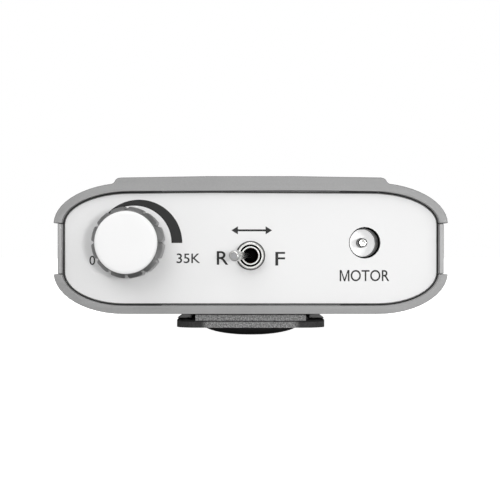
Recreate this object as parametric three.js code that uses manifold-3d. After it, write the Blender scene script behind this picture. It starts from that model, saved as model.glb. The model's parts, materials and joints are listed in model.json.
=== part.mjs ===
// Portable speed controller for a hand-held drill motor: a flat battery box with a speed knob, a direction
// toggle and a motor socket on its front panel, a charging socket on its rear panel and a belt clip below.
// Millimetres. +X is to the right as the front panel is read, +Y runs from front to rear, and +Z is up.
// Pieces are drawn about the box's own datum: x 0 in the middle, y 0 at the front ends, z 0 at half height.
import * as THREE from "three";
import { mergeVertices } from "three/addons/utils/BufferGeometryUtils.js";
import Module from "manifold-3d";

const wasm = await Module();
wasm.setup();

// ---- Driving dimensions ----
const LENGTH = 130; // of both shells
const GAP = 0.25; // between pieces that only lie beside each other
const RUNNING = 0.05; // radial clearance of a shaft that turns in a hole
const CURVE_STEPS = 6; // half the segments in each curved stretch of an outline
const KNOB_SIDES = 36;
const ROUND = 24; // sides of a turned piece
const SMALL_ROUND = 12; // sides of a screw or a pin
const THROUGH = 1; // how far a cutter runs past the face it opens

// The housing outline: flat top and bottom joined to the sides by quarter ellipses.
const UPPER = { cx: 26, cz: 5.6, a: 16.5, b: 8.95, lip: 5.8 };
const LOWER = { cx: 27.4, cz: -4.8, a: 15.1, b: 9.0, lip: -5.25 };
const WALL_SIDE = 1.85;
const WALL_TOP = 1.9;
const WALL_BOTTOM = 1.8;
const PAD = { halfWidth: 28, footHalfWidth: 29.85, footZ: 14.2, edgeZ: 15.62, crownZ: 15.95 };
const CEILING_CROWN = 0.18;
const SHELL_BOTTOM = LOWER.cz - LOWER.b;
const FLOOR = SHELL_BOTTOM + WALL_BOTTOM;
const CEILING = UPPER.cz + UPPER.b - WALL_TOP;
const SIDE_FACE = 41.6; // outer face of the side rails

const PANEL = { inset: 1.5, thick: 2, tongueHalf: 19.5, tongueReach: 0.5 };
const PANEL_FRONT = PANEL.inset;
const PANEL_BACK = PANEL.inset + PANEL.thick;
const REAR_PANEL_FRONT = LENGTH - PANEL_BACK;
const REAR_PANEL_BACK = LENGTH - PANEL.inset;

// Where the controls sit on the panels.
const KNOB_AT = { x: -26.04, z: 1.57 };
const TOGGLE_AT = { x: -0.04, z: -1.2 };
const SOCKET_AT = { x: 24.7, z: 1.57 };
const LAMP_AT = { x: 9, z: 1.5 };

const KNOB = {
  radius: 7.57,
  capRadius: 6.57,
  front: -10.5,
  taperEnd: -7.5,
  back: 1,
  capThick: 1.2,
  grooves: 12,
  grooveDepth: 0.7,
  grooveWidth: 1.1,
  recessRadius: 6.15,
  recessFront: -3,
  hubRadius: 4.9,
  hubBack: -2,
};
const POT = { shaft: 3, bushing: 3.5, hole: 3.75, bodyHalf: 4.75, bodyBack: 10.6, rotor: 3.9 };
const TOGGLE = {
  bushing: 2.85,
  hole: 2.98,
  mouth: 1.95,
  bore: 1.6,
  front: -1.5,
  pivotY: 2,
  ball: 1.5,
  reach: 12.6,
  tilt: 16,
  tipRadius: 1.15,
  neckRadius: 0.72,
  tail: 7.2,
  halfWidth: 6.35,
  halfHeight: 3.3,
  bodyFront: 4.6,
  bodyBack: 14.1,
  rockerY: 10.25,
  rockerTilt: 8,
};
const SOCKET = {
  bore: 3.1,
  panelHole: 3.42,
  pin: 1,
  faceGap: 0.3,
  depth: 8.2,
  pinTip: 2.7,
  halfWidth: 4.5,
  length: 14.2,
  top: 4.6,
};

const BOARD = { top: -4.9, thick: 1.6, halfWidth: 31, front: 5, rear: 43.5 };
const ABOVE_BOARD = BOARD.top + 0.05;
const BOARD_SCREWS = [["left", -12, 33], ["right", 16, 33]];
const CASE_SCREWS = [
  ["front_left", -35, 22],
  ["front_right", 35, 22],
  ["rear_left", -35, 108],
  ["rear_right", 35, 108],
];
const CASE_SCREW = { head: 2.25, headHeight: 1.6, shank: 1.15, top: 8 };
const CELL = { radius: 9.15, length: 65, pitch: 19, z: -1.6, start: 46.2 };
const CELL_END = CELL.start + CELL.length;

// The belt clip: a sprung lever on a cross pin between the cheeks of a base under the lower shell.
const CLIP = {
  halfWidth: 17.3,
  front: 22,
  rear: 90,
  cornerRadius: 5,
  plateTop: -16.7,
  flankTop: -16.35,
  flankRear: 60,
  plateUnder: -18,
  ribHalf: 12.8,
  ribTop: -15,
  ribDeep: 3,
  ribGroove: 0.3,
  tipTop: -14.1,
  pinY: 31,
  pinZ: -15.15,
  pinRadius: 0.6,
  pinHalf: 15.2,
  knuckle: 1.1,
  knuckleInner: 6.5,
  knuckleOuter: 13.6,
  cheekInner: 13.85,
  cheekTopOuter: 14.3,
  cheekOuter: 17.25,
  cheekBottom: -16.2,
  cheekLift: 0.36,
  cheekFront: 27,
  cheekRear: 36,
  basePlateFront: 33,
  basePlateRear: 46,
  basePlateThick: 1,
  crownHalf: 11.8,
  crownFront: 30,
  crownRear: 84,
  crownLow: -20.5,
  crownRun: 10,
  screwX: 8,
  screwY: 41,
  screwHead: 2,
  screwHeadHeight: 0.8,
  screwShank: 1,
  screwTop: -9.6,
};
const CLIP_BASE_TOP = SHELL_BOTTOM - 0.05;

// ---- Materials ----
const paint = (color, roughness, metalness = 0) =>
  new THREE.MeshStandardMaterial({ color, roughness, metalness });
const finish = {
  shell: paint(0x9c9ea0, 0.42, 0.75),
  panel: paint(0xe9eaea, 0.5),
  knobMetal: paint(0xb4b6b8, 0.25, 0.95),
  capMetal: paint(0xf4f4f4, 0.35, 0.3),
  nickel: paint(0xc4c3be, 0.22, 1),
  steel: paint(0x8b8c8e, 0.35, 1),
  whitePlastic: paint(0xf2f2ef, 0.45),
  blackPlastic: paint(0x2a2a2b, 0.5),
  clipPlastic: paint(0x3d3d3e, 0.6),
  redPlastic: paint(0xa8281f, 0.5),
  circuitBoard: paint(0x1f5a36, 0.55),
  cellWrap: paint(0x2f6f9e, 0.4),
  greenLamp: paint(0x58c46a, 0.2),
  redWire: paint(0xb3231d, 0.5),
  blackWire: paint(0x1c1c1d, 0.5),
};

// ---- Solids: three.js geometry joined and cut by manifold-3d ----
function solid(geometry) {
  geometry.deleteAttribute("normal");
  geometry.deleteAttribute("uv");
  const merged = mergeVertices(geometry, 1e-4);
  const vertProperties = merged.attributes.position.array;
  const triVerts = new Uint32Array(merged.index.array);
  return new wasm.Manifold(new wasm.Mesh({ numProp: 3, vertProperties, triVerts }));
}

function piece(name, body, material) {
  const { vertProperties, triVerts, numProp } = body.getMesh();
  const geometry = new THREE.BufferGeometry();
  geometry.setAttribute("position", new THREE.Float32BufferAttribute(vertProperties, numProp));
  geometry.setIndex(new THREE.BufferAttribute(triVerts, 1));
  geometry.computeVertexNormals();
  const mesh = new THREE.Mesh(geometry, material);
  mesh.name = name;
  return mesh;
}

const extrude = (shape, depth) =>
  new THREE.ExtrudeGeometry(shape, { depth, bevelEnabled: false, curveSegments: CURVE_STEPS });

// A section drawn in x and z, run along Y.
const alongY = (shape, from, to) =>
  solid(extrude(shape, to - from).rotateX(Math.PI / 2).translate(0, to, 0));

// A plan drawn in x and y, raised along Z.
const alongZ = (shape, from, to) => solid(extrude(shape, to - from).translate(0, 0, from));

// A side profile drawn in y and z, run along X.
function alongX(shape, from, to) {
  const turn = new THREE.Matrix4().makeBasis(
    new THREE.Vector3(0, 1, 0),
    new THREE.Vector3(0, 0, 1),
    new THREE.Vector3(1, 0, 0),
  );
  return solid(extrude(shape, to - from).applyMatrix4(turn).translate(from, 0, 0));
}

function box([x0, x1], [y0, y1], [z0, z1]) {
  const shape = new THREE.BoxGeometry(x1 - x0, y1 - y0, z1 - z0);
  return solid(shape.translate((x0 + x1) / 2, (y0 + y1) / 2, (z0 + z1) / 2));
}

// Turned about a line parallel to Y: the profile's points are [radius, y], outside wall rising.
function turned(profile, sides = ROUND, x = 0, z = 0) {
  const points = profile.map(([r, y]) => new THREE.Vector2(r, y));
  return solid(new THREE.LatheGeometry(points, sides).translate(x, 0, z));
}

const rod = (radius, from, to, sides, x, z) =>
  turned([[0, from], [radius, from], [radius, to], [0, to]], sides, x, z);

function post(x, y, radius, from, to, sides = SMALL_ROUND) {
  const cylinder = new THREE.CylinderGeometry(radius, radius, to - from, sides);
  return solid(cylinder.rotateX(Math.PI / 2).translate(x, y, (from + to) / 2));
}

function crossRod(y, z, radius, from, to, sides = SMALL_ROUND) {
  const cylinder = new THREE.CylinderGeometry(radius, radius, to - from, sides);
  return solid(cylinder.rotateZ(Math.PI / 2).translate((from + to) / 2, y, z));
}

const join = (first, ...rest) => rest.reduce((a, b) => a.add(b), first);
const cut = (first, ...rest) => rest.reduce((a, b) => a.subtract(b), first);

// A round wire along a smooth route.
function wire(route, radius, steps) {
  const path = new THREE.CatmullRomCurve3(route.map(([x, y, z]) => new THREE.Vector3(x, y, z)));
  const section = new THREE.Shape().absarc(0, 0, radius, 0, 2 * Math.PI);
  const settings = { steps, extrudePath: path, bevelEnabled: false, curveSegments: 4 };
  return solid(new THREE.ExtrudeGeometry(section, settings));
}

// ---- Housing outline ----
// The upper shell's outer outline above its lips, with the raised flat pad along the top.
function upperOutline() {
  const { cx, cz, a, b, lip } = UPPER;
  const { halfWidth, footHalfWidth: foot, footZ, edgeZ, crownZ } = PAD;
  const start = Math.asin((lip - cz) / b);
  const step = Math.acos((foot - cx) / a);
  const shape = new THREE.Shape();
  shape.moveTo(cx + a * Math.cos(start), lip);
  shape.absellipse(cx, cz, a, b, start, step, false, 0);
  shape.quadraticCurveTo(foot - 0.4, footZ + 0.35, foot - 0.6, footZ + 0.7);
  shape.quadraticCurveTo(foot - 0.8, edgeZ - 0.1, halfWidth, edgeZ);
  shape.quadraticCurveTo(0, 2 * crownZ - edgeZ, -halfWidth, edgeZ);
  shape.quadraticCurveTo(0.8 - foot, edgeZ - 0.1, 0.6 - foot, footZ + 0.7);
  shape.quadraticCurveTo(0.4 - foot, footZ + 0.35, -cx - a * Math.cos(step), cz + b * Math.sin(step));
  shape.absellipse(-cx, cz, a, b, Math.PI - step, Math.PI - start, false, 0);
  return shape;
}

// The space under the upper shell, grown or shrunk by `clear`, down to z 0.
function upperHollow(clear) {
  const { cx, cz } = UPPER;
  const a = UPPER.a - WALL_SIDE - clear;
  const b = UPPER.b - WALL_TOP - clear;
  const shape = new THREE.Shape();
  shape.moveTo(cx + a, 0);
  shape.lineTo(cx + a, cz);
  shape.absellipse(cx, cz, a, b, 0, Math.PI / 2, false, 0);
  shape.quadraticCurveTo(0, cz + b + 2 * CEILING_CROWN, -cx, cz + b);
  shape.absellipse(-cx, cz, a, b, Math.PI / 2, Math.PI, false, 0);
  shape.lineTo(-cx - a, 0);
  return shape;
}

function lowerOutline() {
  const { cx, cz, a, b, lip } = LOWER;
  const start = Math.asin((lip - cz) / b);
  const shape = new THREE.Shape();
  shape.moveTo(-cx - a * Math.cos(start), lip);
  shape.absellipse(-cx, cz, a, b, Math.PI - start, 1.5 * Math.PI, false, 0);
  shape.absellipse(cx, cz, a, b, -Math.PI / 2, start, false, 0);
  return shape;
}

function lowerHollow(clear) {
  const { cx, cz } = LOWER;
  const a = LOWER.a - WALL_SIDE - clear;
  const b = LOWER.b - WALL_BOTTOM - clear;
  const shape = new THREE.Shape();
  shape.moveTo(-cx - a, 0);
  shape.lineTo(-cx - a, cz);
  shape.absellipse(-cx, cz, a, b, Math.PI, 1.5 * Math.PI, false, 0);
  shape.absellipse(cx, cz, a, b, -Math.PI / 2, 0, false, 0);
  shape.lineTo(cx + a, 0);
  return shape;
}

// ---- Housing ----
const BOSS = { radius: 3.2, meet: 0.15, pilot: 1.3, clear: 1.5, headClear: 2.6, seat: -9.7, pilotTop: 8.6 };
const STANDOFF_RADIUS = 2.2;
const CHARGE_STANDOFFS = { x: [8, 31], y: 119 };
const CELL_RIBS = { y: [60, 97], halfWidth: 22, thick: 1.6 };
const WEB = { outer: 40, inner: 38.7, neck: 39.8, low: -6.8, high: 7.4 };

// A shallow slot across a shell's inner face for the tongue of a panel.
const tongueSlots = (low, high) =>
  [PANEL_FRONT, REAR_PANEL_FRONT].map((y) =>
    box([-PANEL.tongueHalf - GAP, PANEL.tongueHalf + GAP], [y + 0.5, y + PANEL.thick - 0.3], [low, high]),
  );

function upperShell() {
  const outer = alongY(upperOutline(), 0, LENGTH);
  const hollow = alongY(upperHollow(0), -THROUGH, LENGTH + THROUGH);
  const bosses = CASE_SCREWS.map(([, x, y]) => post(x, y, BOSS.radius, BOSS.meet, CEILING + 0.5));
  const cellTop = CELL.z + CELL.radius + GAP;
  const ribReach = [-CELL_RIBS.halfWidth, CELL_RIBS.halfWidth];
  const cellRibs = CELL_RIBS.y.map((y) => box(ribReach, [y, y + CELL_RIBS.thick], [cellTop, CEILING + 0.5]));
  const pilots = CASE_SCREWS.map(([, x, y]) => post(x, y, BOSS.pilot, 0, BOSS.pilotTop));
  const envelope = join(outer, alongY(upperHollow(0), 0, LENGTH));
  const whole = join(cut(outer, hollow), ...bosses, ...cellRibs).intersect(envelope);
  return cut(whole, ...pilots, ...tongueSlots(CEILING - 0.5, CEILING + PANEL.tongueReach + GAP));
}

function lowerShell() {
  const outer = alongY(lowerOutline(), 0, LENGTH);
  const hollow = alongY(lowerHollow(0), -THROUGH, LENGTH + THROUGH);
  const boardUnder = BOARD.top - BOARD.thick - 0.05;
  const screws = CASE_SCREWS.map(([, x, y]) => [x, y]);
  const bosses = screws.map(([x, y]) => post(x, y, BOSS.radius, SHELL_BOTTOM, -BOSS.meet));
  const standoff = (x, y) => post(x, y, STANDOFF_RADIUS, FLOOR - 0.5, boardUnder);
  const standoffs = BOARD_SCREWS.map(([, x, y]) => standoff(x, y));
  const chargeStandoffs = CHARGE_STANDOFFS.x.map((x) => standoff(x, CHARGE_STANDOFFS.y));
  const clipScrews = [-CLIP.screwX, CLIP.screwX];
  const clipBosses = clipScrews.map((x) => post(x, CLIP.screwY, 2.4, FLOOR - 0.5, FLOOR + 3.4));
  const envelope = join(outer, alongY(lowerHollow(0), 0, LENGTH));
  const whole = join(cut(outer, hollow), ...bosses, ...standoffs, ...chargeStandoffs, ...clipBosses);
  const holes = [
    ...screws.map(([x, y]) => post(x, y, BOSS.clear, SHELL_BOTTOM - THROUGH, THROUGH)),
    ...screws.map(([x, y]) => post(x, y, BOSS.headClear, SHELL_BOTTOM - THROUGH, BOSS.seat)),
    ...BOARD_SCREWS.map(([, x, y]) => post(x, y, 1, FLOOR + 0.3, 0)),
    ...clipScrews.map((x) => post(x, CLIP.screwY, 1.2, SHELL_BOTTOM - THROUGH, FLOOR + 2.8)),
  ];
  const slots = tongueSlots(FLOOR - PANEL.tongueReach - GAP, FLOOR + 0.5);
  return cut(whole.intersect(envelope), ...holes, ...slots);
}

// The flat side wall between the shells' lips, with a taller web inside that keys it behind them.
function sideRail(side) {
  const inner = UPPER.cx + UPPER.a - WALL_SIDE;
  const play = 0.15;
  const between = [PANEL_BACK + GAP, REAR_PANEL_FRONT - GAP];
  const strip = box([inner, SIDE_FACE], [0, LENGTH], [LOWER.lip + play, UPPER.lip - play]);
  const neck = box([WEB.neck, inner + 0.1], between, [LOWER.lip + 0.4, UPPER.lip - 0.4]);
  const web = box([WEB.inner, WEB.outer], between, [WEB.low, WEB.high]);
  const rail = join(strip, neck, web);
  return side < 0 ? rail.mirror([1, 0, 0]) : rail;
}

// A panel fills the housing's section and is held by a tongue along its top and bottom edges.
function panelBlank(from) {
  const span = [from + 0.7, from + PANEL.thick - 0.5];
  const reach = [-PANEL.tongueHalf, PANEL.tongueHalf];
  return join(
    alongY(upperHollow(GAP), from, from + PANEL.thick),
    alongY(lowerHollow(GAP), from, from + PANEL.thick),
    box(reach, span, [CEILING - 1, CEILING + PANEL.tongueReach]),
    box(reach, span, [FLOOR - PANEL.tongueReach, FLOOR + 1]),
  );
}

const panelHole = (at, radius) => rod(radius, -THROUGH, LENGTH + THROUGH, ROUND, at.x, at.z);

const frontPanel = () =>
  cut(
    panelBlank(PANEL_FRONT),
    panelHole(KNOB_AT, POT.hole),
    panelHole(TOGGLE_AT, TOGGLE.hole),
    panelHole(SOCKET_AT, SOCKET.panelHole),
  );

const rearPanel = () =>
  cut(panelBlank(REAR_PANEL_FRONT), panelHole(SOCKET_AT, SOCKET.panelHole), panelHole(LAMP_AT, 1.75));

// A cross-recessed screw on a vertical axis, with its head's underside at `seat` and its shank above.
function risingScrew(x, y, seat, shankTop, head, headHeight, shank) {
  const low = seat - headHeight;
  const arm = head * 0.55;
  const deep = low + headHeight * 0.55;
  const drive = [
    box([x - arm, x + arm], [y - 0.3, y + 0.3], [low - THROUGH, deep]),
    box([x - 0.3, x + 0.3], [y - arm, y + arm], [low - THROUGH, deep]),
  ];
  return cut(join(post(x, y, head, low, seat), post(x, y, shank, seat - 0.1, shankTop)), ...drive);
}

function housing() {
  const group = new THREE.Group();
  const { head, headHeight, shank, top } = CASE_SCREW;
  group.add(
    piece("upper_shell", upperShell(), finish.shell),
    piece("lower_shell", lowerShell(), finish.shell),
    piece("side_rail_left", sideRail(-1), finish.shell),
    piece("side_rail_right", sideRail(1), finish.shell),
    piece("front_panel", frontPanel(), finish.panel),
    piece("rear_panel", rearPanel(), finish.panel),
  );
  for (const [name, x, y] of CASE_SCREWS) {
    const screw = risingScrew(x, y, BOSS.seat - 0.05, top, head, headHeight, shank);
    group.add(piece(`case_screw_${name}`, screw, finish.steel));
  }
  return group;
}

// ---- Speed control: a rotary potentiometer with its knob, drawn on the knob's axis ----
function knobGrip() {
  const { radius, capRadius, front, taperEnd, back, capThick } = KNOB;
  const { recessRadius, recessFront, hubRadius, hubBack } = KNOB;
  const seat = front + capThick;
  const shoulder = capRadius + ((radius - capRadius) * capThick) / (taperEnd - front);
  const side = [[0, seat], [shoulder, seat], [radius, taperEnd], [radius, back], [0, back]];
  const blank = turned(side, KNOB_SIDES);
  const recess = rod(recessRadius, recessFront, back + THROUGH, ROUND);
  const hub = rod(hubRadius, recessFront - 0.5, hubBack, ROUND);
  const shaftBore = rod(POT.shaft + RUNNING, seat + 2.4, back + THROUGH, ROUND);
  return cut(join(cut(blank, recess), hub), shaftBore, ...knobGrooves());
}

// The V grooves that run down the grip's side.
function knobGrooves() {
  const { radius, grooves, grooveDepth, grooveWidth, back, front } = KNOB;
  const notch = new THREE.Shape();
  notch.moveTo(0, radius - grooveDepth);
  notch.lineTo(grooveWidth, radius + grooveDepth);
  notch.lineTo(-grooveWidth, radius + grooveDepth);
  const groove = alongY(notch, front - THROUGH, back + THROUGH);
  return Array.from({ length: grooves }, (_, i) => groove.rotate([0, (360 / grooves) * i, 0]));
}

function knobCap() {
  const { capRadius, front, capThick } = KNOB;
  const edge = 0.2;
  const back = front + capThick;
  const rim = [[capRadius - edge, front], [capRadius, front + edge], [capRadius, back]];
  return turned([[0, front], ...rim, [0, back]], KNOB_SIDES);
}

function speedControl() {
  const group = new THREE.Group();
  group.position.set(KNOB_AT.x, 0, KNOB_AT.z);
  const { shaft, bushing, bodyHalf, bodyBack, rotor } = POT;
  const bore = shaft + RUNNING;
  const bodyFront = PANEL_BACK + 0.6;
  const boardSide = ABOVE_BOARD - KNOB_AT.z;
  const shaftFlat = box([-4, 4], [-9, -3.5], [2.2, 4]);
  const spindle = cut(rod(shaft, KNOB.front + KNOB.capThick + 2.5, 7.4, ROUND), shaftFlat);
  const threadFront = -1.6;
  const threadBack = PANEL_BACK + 0.5;
  const ring = (inner, outer, from, to, sides = ROUND) =>
    cut(rod(outer, from, to, sides), rod(inner, from - THROUGH, to + THROUGH, ROUND));
  const body = cut(
    box([-bodyHalf, bodyHalf], [bodyFront, bodyBack], [boardSide, 5.4]),
    rod(bore, 0, 6, ROUND),
    rod(rotor + 0.2, 5.6, bodyBack + THROUGH, ROUND),
  );
  const brush = box([-0.6, 0.6], [8.2, 9], [1.4, 3.4]);
  const wiper = cut(join(rod(rotor, 7.5, 8.3, ROUND), brush), rod(0.8, 7, 9, SMALL_ROUND));
  const track = cut(ring(1.4, rotor, 9.15, 9.7), box([-0.7, 0.7], [9, 10], [-5, 0]));
  const switchBody = box([-4.6, 4.6], [bodyBack + 0.1, bodyBack + 4.6], [boardSide, 4.6]);
  group.add(
    piece("knob_grip", knobGrip(), finish.knobMetal),
    piece("knob_cap", knobCap(), finish.capMetal),
    piece("speed_shaft", spindle, finish.nickel),
    piece("speed_bushing", ring(bore, bushing, threadFront, threadBack), finish.nickel),
    piece("speed_washer", ring(bushing + 0.1, 5.6, 1, 1.4), finish.nickel),
    piece("speed_nut", ring(bushing + 0.1, 5.77, -0.95, 0.95, 6), finish.nickel),
    piece("speed_pot_body", body, finish.steel),
    piece("speed_pot_wiper", wiper, finish.nickel),
    piece("speed_pot_track", track, finish.blackPlastic),
    piece("power_switch_body", switchBody, finish.blackPlastic),
  );
  return group;
}

// ---- Direction switch: a miniature toggle, drawn on the bushing's axis ----
function toggleFrame() {
  const { bushing, mouth, bore, front, bodyFront, halfWidth, halfHeight } = TOGGLE;
  const sleeve = turned(
    [
      [bore, front + 0.6],
      [mouth, front],
      [2.0, front],
      [2.0, front + 0.45],
      [2.4, front + 0.45],
      [2.4, front],
      [bushing - 0.15, front],
      [bushing, front + 0.2],
      [bushing, bodyFront - 0.3],
      [bore, bodyFront - 0.3],
      [bore, front + 0.6],
    ],
    ROUND,
  );
  const plate = box([-halfWidth, halfWidth], [PANEL_BACK + 0.4, bodyFront - 0.1], [-halfHeight, halfHeight]);
  return join(sleeve, cut(plate, rod(bore + 0.3, 0, bodyFront + THROUGH, ROUND)));
}

// A terminal: its contact post inside the body, its tail bent down to the board.
function toggleTerminal(x, tip) {
  const boardSide = ABOVE_BOARD - TOGGLE_AT.z;
  return join(
    box([x - 0.6, x + 0.6], [tip, 16.4], [-0.4, 0.4]),
    box([x - 0.6, x + 0.6], [15.6, 16.4], [boardSide, 0.3]),
  );
}

function toggleBat() {
  const { reach, tipRadius, neckRadius, ball, tail } = TOGGLE;
  const ballPoints = [-60, -40, -20, 0, 20, 40, 60].map((angle) => {
    const turn = THREE.MathUtils.degToRad(angle);
    return [ball * Math.cos(turn), ball * Math.sin(turn)];
  });
  return turned(
    [
      [0, -reach],
      [tipRadius - 0.2, -reach],
      [tipRadius, -reach + 0.2],
      [tipRadius, -reach + 2.2],
      [neckRadius, -3.6],
      ...ballPoints,
      [neckRadius, tail],
      [0.4, tail + 0.6],
      [0, tail + 0.7],
    ],
    ROUND,
  );
}

function directionSwitch() {
  const { halfWidth, halfHeight, bodyFront, bodyBack, pivotY, tilt, rockerY, rockerTilt } = TOGGLE;
  const group = new THREE.Group();
  group.position.set(TOGGLE_AT.x, 0, TOGGLE_AT.z);
  const contacts = [["left", -3.5, 11.05], ["centre", 0, 10.55], ["right", 3.5, 11.05]];
  const body = cut(
    box([-halfWidth, halfWidth], [bodyFront, bodyBack], [-halfHeight, halfHeight]),
    box([-4.7, 4.7], [bodyFront - THROUGH, bodyBack - 1], [-2.3, 2.3]),
    ...contacts.map(([, x]) => box([x - 0.7, x + 0.7], [bodyBack - 2, bodyBack + THROUGH], [-0.5, 0.5])),
  );
  const lever = new THREE.Group();
  lever.position.y = pivotY;
  lever.rotation.z = THREE.MathUtils.degToRad(-tilt);
  lever.add(piece("toggle_lever", toggleBat(), finish.nickel));
  const rocker = new THREE.Group();
  rocker.position.y = rockerY;
  rocker.rotation.z = THREE.MathUtils.degToRad(rockerTilt);
  rocker.add(piece("toggle_rocker", box([-4, 4], [-0.2, 0.2], [-1.5, 1.5]), finish.nickel));
  group.add(
    piece("toggle_frame", toggleFrame(), finish.nickel),
    piece("toggle_body", body, finish.redPlastic),
    lever,
    rocker,
  );
  for (const [name, x, tip] of contacts)
    group.add(piece(`toggle_terminal_${name}`, toggleTerminal(x, tip), finish.nickel));
  return group;
}

// ---- Coaxial power sockets ----
// Drawn with the panel's inner face at local y 0 and the body behind it; a rear socket is turned half round.
function coaxialSocket(name, y, facing, plastic) {
  const { bore, pin, faceGap, depth, pinTip, halfWidth, length, top } = SOCKET;
  const boardSide = ABOVE_BOARD - SOCKET_AT.z;
  const floor = faceGap + depth;
  const rear = faceGap + length;
  const socket = new THREE.Group();
  socket.position.set(SOCKET_AT.x, y, SOCKET_AT.z);
  socket.rotation.z = facing;
  const shell = cut(
    join(
      box([-halfWidth, halfWidth], [faceGap, faceGap + 3.2], [boardSide, top]),
      box([0.4 - halfWidth, halfWidth - 0.4], [faceGap + 3, rear], [boardSide, top - 0.4]),
    ),
    rod(bore, -THROUGH, floor, ROUND),
    rod(pin + 0.1, floor - THROUGH, floor + 2.6, SMALL_ROUND),
    box([-1.6, 1.6], [faceGap + 5, rear + THROUGH], [bore - 0.1, bore + 0.5]),
  );
  const tip = faceGap + pinTip;
  const pinSide = [[pin - 0.3, tip], [pin, tip + 0.35], [pin, floor + 2.4]];
  const centre = turned([[0, tip], ...pinSide, [0, floor + 2.4]], SMALL_ROUND);
  const leaf = box([-1.4, 1.4], [faceGap + 5.2, rear + 0.8], [bore - 0.05, bore + 0.35]);
  socket.add(
    piece(`${name}_body`, shell, plastic),
    piece(`${name}_pin`, centre, finish.nickel),
    piece(`${name}_contact`, leaf, finish.nickel),
  );
  return socket;
}

// ---- Electronics ----
const boardPlate = (x, y) => box(x, y, [BOARD.top - BOARD.thick, BOARD.top]);

function electronics() {
  const group = new THREE.Group();
  const up = ABOVE_BOARD;
  const screwHoles = BOARD_SCREWS.map(([, x, y]) => post(x, y, 1.1, BOARD.top - 3, BOARD.top + 1));
  const mainPlate = boardPlate([-BOARD.halfWidth, BOARD.halfWidth], [BOARD.front, BOARD.rear]);
  const mainBoard = cut(mainPlate, ...screwHoles);
  const can = (x, y, radius, height) => {
    const top = up + height;
    return cut(
      post(x, y, radius, up, top, ROUND),
      post(x, y, radius * 0.75, top - 0.3, top + THROUGH, ROUND),
    );
  };
  const spool = join(
    post(3, 30, 4.6, up, up + 1.2, ROUND),
    post(3, 30, 3.2, up + 1, up + 4, ROUND),
    post(3, 30, 4.6, up + 3.8, up + 5, ROUND),
  );
  const transistor = join(
    box([-25, -18.5], [24, 30], [up, up + 2.3]),
    box([-24.5, -19], [29.9, 32.5], [up, up + 0.6]),
  );
  const plug = cut(
    box([18, 26], [36.2, 42], [up, up + 6.4]),
    box([18.8, 25.2], [37, 41.2], [up + 1.6, up + 8]),
  );
  const lensBack = REAR_PANEL_FRONT - 2.5;
  const lens = turned(
    [
      [0, lensBack],
      [2.2, lensBack],
      [2.2, REAR_PANEL_FRONT - 0.3],
      [1.5, REAR_PANEL_FRONT - 0.3],
      [1.5, REAR_PANEL_BACK - 0.1],
      [1.05, REAR_PANEL_BACK + 0.65],
      [0, REAR_PANEL_BACK + 0.9],
    ],
    ROUND,
    LAMP_AT.x,
    LAMP_AT.z,
  );
  group.add(
    piece("main_board", mainBoard, finish.circuitBoard),
    piece("filter_capacitor_large", can(14, 24, 4, 11), finish.blackPlastic),
    piece("filter_capacitor_small", can(-9, 24, 3.15, 8), finish.blackPlastic),
    piece("choke_coil", spool, finish.steel),
    piece("motor_transistor", transistor, finish.blackPlastic),
    piece("control_chip", box([-2.5, 4.5], [19, 24], [up, up + 1.6]), finish.blackPlastic),
    piece("battery_connector", plug, finish.whitePlastic),
    piece("charge_board", boardPlate([3, 33], [113.4, 125]), finish.circuitBoard),
    piece("charge_lamp", lens, finish.greenLamp),
  );
  for (const [name, x, y] of BOARD_SCREWS) {
    const head = post(x, y, 1.9, BOARD.top + 0.05, BOARD.top + 1.3);
    const shank = post(x, y, 0.8, -10.8, BOARD.top + 0.1);
    group.add(piece(`board_screw_${name}`, join(head, shank), finish.steel));
  }
  return group;
}

// ---- Battery ----
function battery() {
  const group = new THREE.Group();
  const { radius, length, pitch, z, start } = CELL;
  const profile = [
    [0, 0],
    [radius - 0.5, 0],
    [radius, 0.5],
    [radius, length - 1.1],
    [radius - 0.8, length - 0.7],
    [2.8, length - 0.7],
    [2.8, length],
    [0, length],
  ];
  [["left", -pitch, 1], ["centre", 0, -1], ["right", pitch, 1]].forEach(([name, x, sense]) => {
    const cell = new THREE.Group();
    cell.position.set(x, sense > 0 ? start : CELL_END, z);
    cell.rotation.z = sense > 0 ? 0 : Math.PI;
    cell.add(piece(`battery_cell_${name}`, turned(profile), finish.cellWrap));
    group.add(cell);
  });
  const bays = [-pitch, 0, pitch].map((x) => rod(radius + GAP, start - 0.45, CELL_END + 0.45, ROUND, x, z));
  const tray = box([-29, 29], [start - 1.5, CELL_END + 1.5], [FLOOR + 0.2, -5.2]);
  const strip = (x0, x1, y) => box([x0, x1], [y - 0.12, y + 0.12], [z - 3, z + 3]);
  group.add(
    piece("battery_cradle", cut(tray, ...bays), finish.blackPlastic),
    piece("nickel_strip_front", strip(-pitch - 3, 3, start - 0.2), finish.nickel),
    piece("nickel_strip_rear", strip(-3, pitch + 3, CELL_END + 0.2), finish.nickel),
  );
  return group;
}

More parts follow.
